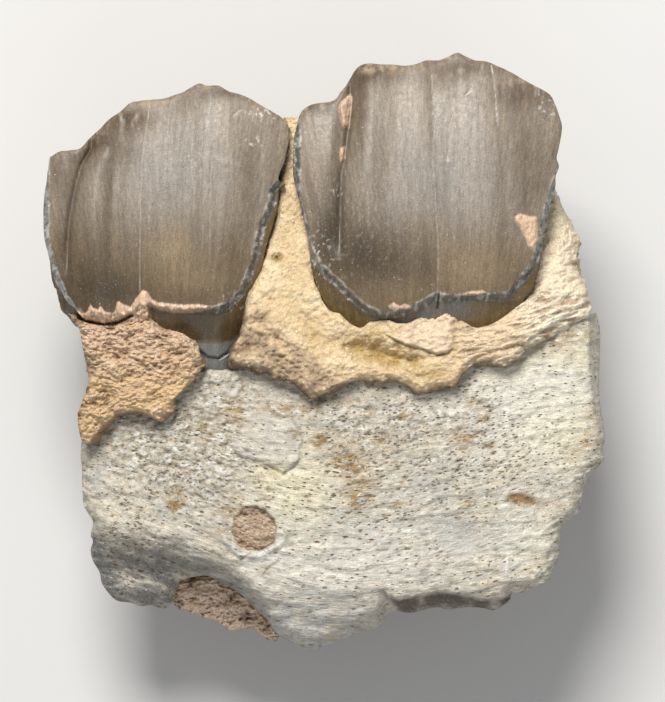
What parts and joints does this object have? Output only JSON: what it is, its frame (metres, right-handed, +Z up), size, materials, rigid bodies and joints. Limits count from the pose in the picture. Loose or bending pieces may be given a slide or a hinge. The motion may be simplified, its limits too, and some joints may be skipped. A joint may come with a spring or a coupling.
{
  "type": "fossil hyracodon jaw",
  "caption": "Broken piece of fossil upper jaw with brown ribbed molars in pale porous bone, and yellow and tan siltstone still filling the gaps.",
  "frame": {"origin": "middle of the fossil's footprint, on the surface that it lies on", "axes": "+X along the tooth row towards the back of the jaw, +Y from the broken bone to the crowns' edges, +Z up to the cheek side"},
  "size_m": [0.051, 0.0539, 0.0274],
  "materials": {
    "bone": "weathered fossil bone, pale grey-white, with fine pores and fibres",
    "enamel": "smooth brown fossil enamel with faint streaks, satin",
    "tan_siltstone": "rough tan siltstone, matt",
    "yellow_siltstone": "yellow to peach siltstone, matt",
    "pinkish_siltstone": "rough pinkish brown siltstone, matt"
  },
  "bodies": {
    "root": {"maxilla_bone": "bone", "first_molar": "enamel", "second_molar": "enamel", "matrix_under_first_molar": "tan_siltstone", "matrix_around_second_molar": "yellow_siltstone", "matrix_in_lower_hollow": "pinkish_siltstone", "foramen_plug": "tan_siltstone"}
  },
  "joints": []
}
